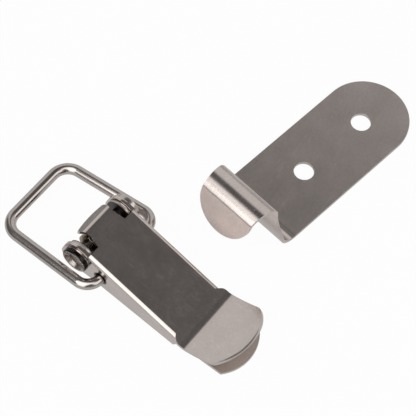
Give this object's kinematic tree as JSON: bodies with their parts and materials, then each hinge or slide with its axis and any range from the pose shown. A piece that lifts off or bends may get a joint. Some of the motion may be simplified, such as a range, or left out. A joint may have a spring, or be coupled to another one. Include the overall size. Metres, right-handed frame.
{
  "type": "over centre toggle latch",
  "caption": "Small pressed-sheet over centre toggle latch: a lever with a wire bail riveted to a base strip, and a separate hooked strike plate for the bail to pull on.",
  "frame": {"origin": "midway between the two mounting holes of the base, on its underside", "axes": "+X along the closed lever from the pivot towards the grip, +Z away from the mounting surface"},
  "size_m": [0.0605, 0.0869, 0.0174],
  "materials": {
    "base": "satin stainless sheet",
    "rivet": "satin stainless, swaged",
    "bush": "dark oiled steel",
    "lever": "satin stainless sheet, bright at the folds",
    "wire": "drawn stainless wire",
    "strike": "satin stainless sheet, bright at the hook"
  },
  "bodies": {
    "base": {"base": "base", "pivot_rivet": "rivet", "pivot_bush": "bush", "strike": "strike"},
    "lever": {"lever": "lever"},
    "bail": {"bail": "wire"}
  },
  "joints": [
    {"name": "lever_pivot", "type": "hinge", "parent": "base", "child": "lever", "pos_m": [-0.016, 0, 0.0084], "axis": [0, -1, 0], "range_deg": [0, 110]},
    {"name": "bail_hinge", "type": "hinge", "parent": "lever", "child": "bail", "pos_m": [-0.00992, 0, 0.00607], "axis": [0, 1, 0], "range_deg": [-6, 185]}
  ]
}
